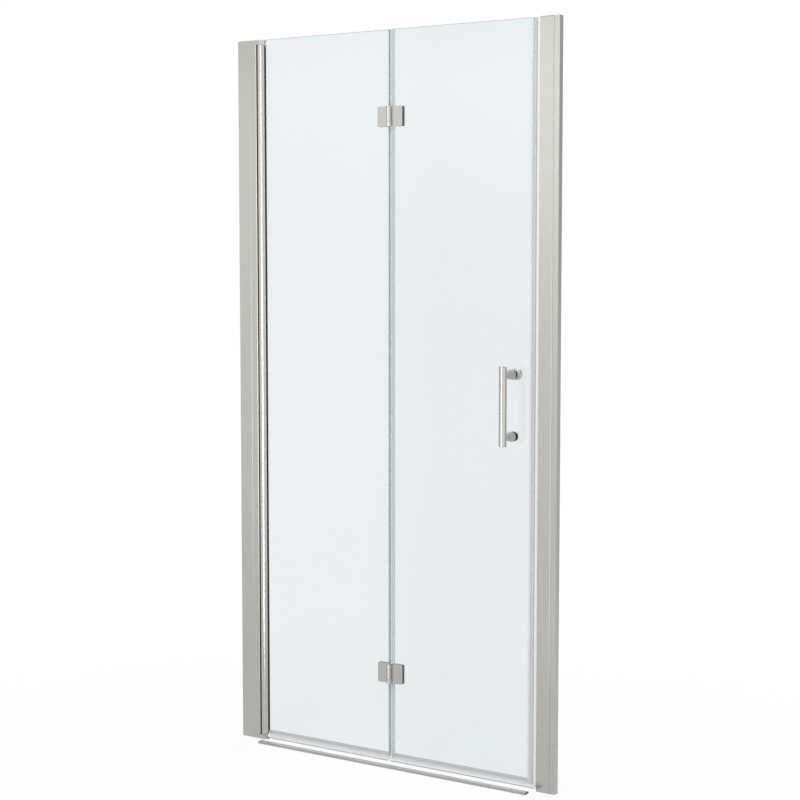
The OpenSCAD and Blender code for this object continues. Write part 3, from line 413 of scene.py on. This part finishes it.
# Half outline of a screw in its wall plug, in millimetres: distance from the wall, and radius
SCREW_OUTLINE = [
    (0.5, 0.0), (0.5, 2.0), (0.3, 2.1), (0.3, 2.8), (0.4, 2.92), (1.62, 2.92),  # the plug
    (1.62, 4.6), (2.0, 4.8), (2.6, 4.7), (3.2, 4.2), (3.6, 3.3), (3.8, 2.2),    # the head
    (3.75, 1.6), (2.7, 1.5), (2.7, 0.0),                                        # and its recess
]


def screw_rings(wall_x, inward, height):
    """One screw's corners: a ring of them for each point of the outline."""
    for depth, radius in SCREW_OUTLINE:
        for side in range(SCREW_SIDES):
            turn = 2 * math.pi * side / SCREW_SIDES
            yield (wall_x + inward * depth * MM, radius * MM * math.cos(turn),
                   height + radius * MM * math.sin(turn))


def ring_faces(start):
    """The faces between the rings of the screw whose first corner has this number."""
    for ring in range(len(SCREW_OUTLINE) - 1):
        low = start + ring * SCREW_SIDES
        high = low + SCREW_SIDES
        for side in range(SCREW_SIDES):
            after = (side + 1) % SCREW_SIDES
            yield (low + side, low + after, high + after, high + side)


def wall_screws(name, wall_x, inward):
    """The screws that hold one channel to its wall, in plugs that end just inside its face."""
    corners, faces = [], []
    for row in range(WALL_SCREWS):
        faces += ring_faces(len(corners))
        corners += screw_rings(wall_x, inward, WALL_SCREW_FIRST + row * WALL_SCREW_PITCH)
    mesh = bpy.data.meshes.new(name)
    mesh.from_pydata(corners, [], faces)
    shape = bmesh.new()
    shape.from_mesh(mesh)
    bmesh.ops.remove_doubles(shape, verts=shape.verts, dist=SAME_POINT)
    bmesh.ops.recalc_face_normals(shape, faces=shape.faces)
    for face in shape.faces:
        face.smooth = True
    shape.to_mesh(mesh)
    shape.free()
    mesh.set_sharp_from_angle(angle=math.radians(SHARP_DEG))
    mesh.materials.append(profile_metal)
    screws = bpy.data.objects.new(name, mesh)
    bpy.context.scene.collection.objects.link(screws)
    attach(screws, "frame")


wall_screws("hinge_wall_screws", door_low[0], 1)
wall_screws("strike_wall_screws", door_high[0], -1)


# ---------- floor and world ----------
# Both show white to the camera and through glass. Metal mirrors them a little darker or brighter
# from place to place, as it would a studio.

GLOSS_RIGHT = 0.4               # how much brighter both are in metal at the front right
RIGHT_SIDE = (-0.28, -0.08)     # where that starts and is whole, from -1 for left to 1 for right

FLOOR_SIZE = 60.0
FLOOR_DROP = 0.5 * MM           # how far the floor lies below the door's foot
FLOOR_BOUNCE = (0.8, 0.8, 0.79, 1.0)    # its colour where it only sends light on
FLOOR_LIT = (1.0, 1.0, 1.0, 1.0)        # its colour where it shows the lamps' light and shadow
FLOOR_SHADE = 0.1               # how much of that light and shadow shows beside the object
SHADE_REACH = (0.6, 1.8)        # distances from the object's foot where it fades
GLOSS_NEAR = 0.8                # how bright the floor is in metal beside the object
GLOSS_FAR = 0.94                # and far away
GLOSS_REACH = (1.0, 6.0)        # distances where it gets brighter
GLOSS_BEHIND = 0.7              # how bright it is in metal well behind the door
BEHIND_REACH = (0.0, 2.0)       # distances behind the door where it gets darker
RIGHT_DEPTHS = (-1.5, -1.0)     # where the front right is whole and where it ends

SKY_LIGHT = 0.55                # how bright the world is to surfaces that scatter its light
SKY_BAND = 0.15                 # how much brighter the front is in metal in a band at the horizon
BAND_RISE = (0.0, 0.09)         # heights, up to 1, where the band starts and is whole
SKY_LIFT = 1.4                  # a glow in that band at the front left
LIFT_TOWARDS = (-0.405, -0.91, 0.087)
LIFT_FOCUS = 90.0               # how narrow that glow is
SKY_TOP = 0.5                   # how bright the front is in metal above the band
TOP_RISE = (0.095, 0.15)        # heights where the band ends and the top is whole
FILL_SHADE = 0.8                # how much of the sky the fill softbox takes away behind it
FILL_SIDE = (0.45, 0.6)         # where that starts and is whole, towards the right
FRONT_DEPTHS = (-0.3, 0.0)      # where the front is whole and where it ends, from -1 to 1
SKY_BEHIND = 0.56               # how bright the sky is in metal behind the door
BACK_DEPTHS = (0.1, 0.6)        # where that starts and is whole


def ray_kinds(nodes):
    """Two shares: rays from the camera, off a gloss or through glass, and only those off a gloss."""
    path = nodes.add("LightPath").outputs
    through = nodes.maths("MAXIMUM", path["Is Camera Ray"], path["Is Transmission Ray"])
    seen = nodes.maths("MAXIMUM", through, path["Is Glossy Ray"])
    return seen, nodes.maths("SUBTRACT", seen, through)


def floor_material():
    """White, with the object's soft shadow close to it."""
    made, nodes, surface = material("pale_floor")
    seen, gloss = ray_kinds(nodes)
    place = nodes.add("TexCoord").outputs["Object"]
    away = nodes.measure("DISTANCE", place, (door_width / 2, 0.0, 0.0))
    depth = nodes.coordinate("Object", "Y")

    around = nodes.spread(away, *GLOSS_REACH, GLOSS_NEAR - 1.0, GLOSS_FAR - 1.0)
    behind = nodes.spread(depth, *BEHIND_REACH, 0.0, GLOSS_BEHIND - 1.0)
    across = nodes.maths("SUBTRACT", nodes.coordinate("Object", "X"), door_width / 2)
    side = nodes.maths("DIVIDE", across, away)
    to_right = nodes.maths("MULTIPLY", nodes.spread(side, *RIGHT_SIDE, 0.0, GLOSS_RIGHT),
                           nodes.spread(depth, *RIGHT_DEPTHS, 1.0, 0.0))
    in_metal = nodes.maths("ADD", nodes.maths("MINIMUM", around, behind), to_right)
    strength = nodes.maths("ADD", 1.0, nodes.maths("MULTIPLY", gloss, in_metal))

    glow = nodes.add("Emission", None, Strength=strength)
    lit = nodes.add("BsdfDiffuse", None, Color=FLOOR_LIT)
    near = nodes.spread(away, *SHADE_REACH, FLOOR_SHADE, 0.0, kind="SMOOTHSTEP")
    white = nodes.mix_shader(near, glow.outputs[0], lit.outputs[0])
    bounce = nodes.add("BsdfDiffuse", None, Color=FLOOR_BOUNCE)
    nodes.tree.links.new(nodes.mix_shader(seen, bounce.outputs[0], white), surface)
    return made


def make_floor():
    """A wide pale floor."""
    half = FLOOR_SIZE / 2
    mesh = bpy.data.meshes.new("floor")
    corners = [(-half, -half), (half, -half), (half, half), (-half, half)]
    mesh.from_pydata([(x, y, -FLOOR_DROP) for x, y in corners], [], [(0, 1, 2, 3)])
    floor = bpy.data.objects.new("floor", mesh)
    bpy.context.scene.collection.objects.link(floor)
    mesh.materials.append(floor_material())


def make_world():
    """A white sky that gives even light."""
    world = bpy.data.worlds.new("studio")
    bpy.context.scene.world = world
    world.use_nodes = True
    world.node_tree.nodes.clear()
    nodes = Nodes(world.node_tree)
    seen, gloss = ray_kinds(nodes)
    right, back, up = (nodes.coordinate("Generated", axis) for axis in "XYZ")

    direction = nodes.add("TexCoord").outputs["Generated"]
    towards = nodes.measure("DOT_PRODUCT", direction, LIFT_TOWARDS)
    lift = nodes.maths("POWER", nodes.maths("MAXIMUM", towards, 0.0), LIFT_FOCUS)
    band = nodes.maths("ADD", nodes.maths("MULTIPLY", lift, SKY_LIFT), SKY_BAND)
    band = nodes.maths("MULTIPLY", band, nodes.spread(up, *BAND_RISE, 0.0, 1.0))
    front = nodes.maths("ADD", band, 1.0)
    front = nodes.maths("ADD", front, nodes.spread(right, *RIGHT_SIDE, 0.0, GLOSS_RIGHT))
    front = nodes.maths("SUBTRACT", front, nodes.spread(right, *FILL_SIDE, 0.0, FILL_SHADE))
    front = nodes.maths("MULTIPLY", front, nodes.spread(up, *TOP_RISE, 1.0, SKY_TOP))
    front = nodes.maths("SUBTRACT", front, 1.0)
    front = nodes.maths("MULTIPLY", front, nodes.spread(back, *FRONT_DEPTHS, 1.0, 0.0))
    behind = nodes.spread(back, *BACK_DEPTHS, 0.0, SKY_BEHIND - 1.0)
    in_metal = nodes.maths("MULTIPLY", nodes.maths("ADD", front, behind), gloss)

    strength = nodes.maths("ADD", nodes.spread(seen, 0.0, 1.0, SKY_LIGHT, 1.0), in_metal)
    sky = nodes.add("Background", None, Color=(1.0, 1.0, 1.0, 1.0), Strength=strength)
    nodes.tree.links.new(sky.outputs[0], nodes.add("OutputWorld").inputs["Surface"])


make_floor()
make_world()


# ---------- lamps ----------

PIVOT_TUBE_X = 0.07             # about where the pivot tube stands
HANDLE_AT = (0.82, -0.06, 0.92)
UPPER_HINGE_AT = (0.474, 0.0, 1.55)


def area_lamp(name, at, target, size, power):
    """A soft box of this width and height at a place, turned towards a target."""
    light = bpy.data.lights.new(name, "AREA")
    light.shape = "RECTANGLE"
    light.size, light.size_y = size
    light.energy = power
    lamp = bpy.data.objects.new(name, light)
    lamp.location = at
    bpy.context.scene.collection.objects.link(lamp)
    aim = [t - a for t, a in zip(target, at)]
    flat = math.hypot(aim[0], aim[1])
    lamp.rotation_euler = (math.atan2(flat, -aim[2]), 0.0, math.atan2(-aim[0], aim[1]))
    lamp.visible_camera = False
    lamp.visible_transmission = False
    return lamp


def link_light(lamps, names, state="INCLUDE"):
    """Keeps these lamps to the nodes with these names, or away from them."""
    linked = bpy.data.collections.new("linked_to_" + lamps[0].name)
    for name in names:
        linked.objects.link(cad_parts[name])
    for entry in linked.collection_objects:
        entry.light_linking.link_state = state
    for lamp in lamps:
        lamp.light_linking.receiver_collection = linked


area_lamp("key_softbox", (0.6, -3.2, 3.6), door_middle, size=(1.6, 1.6), power=46.0)

# The bright lines along the pivot tube, the handle and the hinges
strips = [
    area_lamp("upper_strip_light", (0.65, -1.09, 1.75), (PIVOT_TUBE_X, 0.0, 1.75),
              size=(0.12, 1.1), power=2.4),
    area_lamp("lower_strip_light", (0.67, -1.09, 0.6), (PIVOT_TUBE_X, 0.0, 0.6),
              size=(0.14, 1.2), power=6.2),
]
link_light(strips, ["pivot_profile", "handle_bar", "lower_handle_post", "upper_handle_post"]
           + HINGE_LEAVES)

# The fill leaves out the handle bar, where it would make a second bright line
fill = area_lamp("fill_softbox", (3.4, -1.6, 1.3), door_middle, size=(3.0, 3.0), power=26.0)
link_light([fill], ["handle_bar"], "EXCLUDE")
handle_glow = area_lamp("handle_softbox", (2.8, -0.55, 0.7), HANDLE_AT, size=(1.0, 2.0),
                        power=2.2)
link_light([handle_glow], ["handle_bar"])

hinge_glow = area_lamp("hinge_softbox", (-0.92, -2.09, 1.68), UPPER_HINGE_AT, size=(1.0, 0.7),
                       power=0.5)
link_light([hinge_glow], ["upper_wall_leaf", "upper_door_leaf"])
area_lamp("rear_softbox", (-0.6, 2.8, 2.4), door_middle, size=(2.4, 2.4), power=40.0)


# ---------- camera ----------

def make_camera():
    """The photograph's camera."""
    camera = bpy.data.cameras.new("photo_view")
    camera.lens = LENS_MM
    camera.sensor_width = SENSOR_MM
    view = bpy.data.objects.new("photo_view", camera)
    view.location = CAMERA_AT
    view.rotation_euler = (math.radians(90 - CAMERA_DOWN_DEG), 0.0,
                           math.radians(CAMERA_AZIMUTH_DEG))
    bpy.context.scene.collection.objects.link(view)
    bpy.context.scene.camera = view


make_camera()
bpy.context.scene.view_settings.view_transform = "Standard"
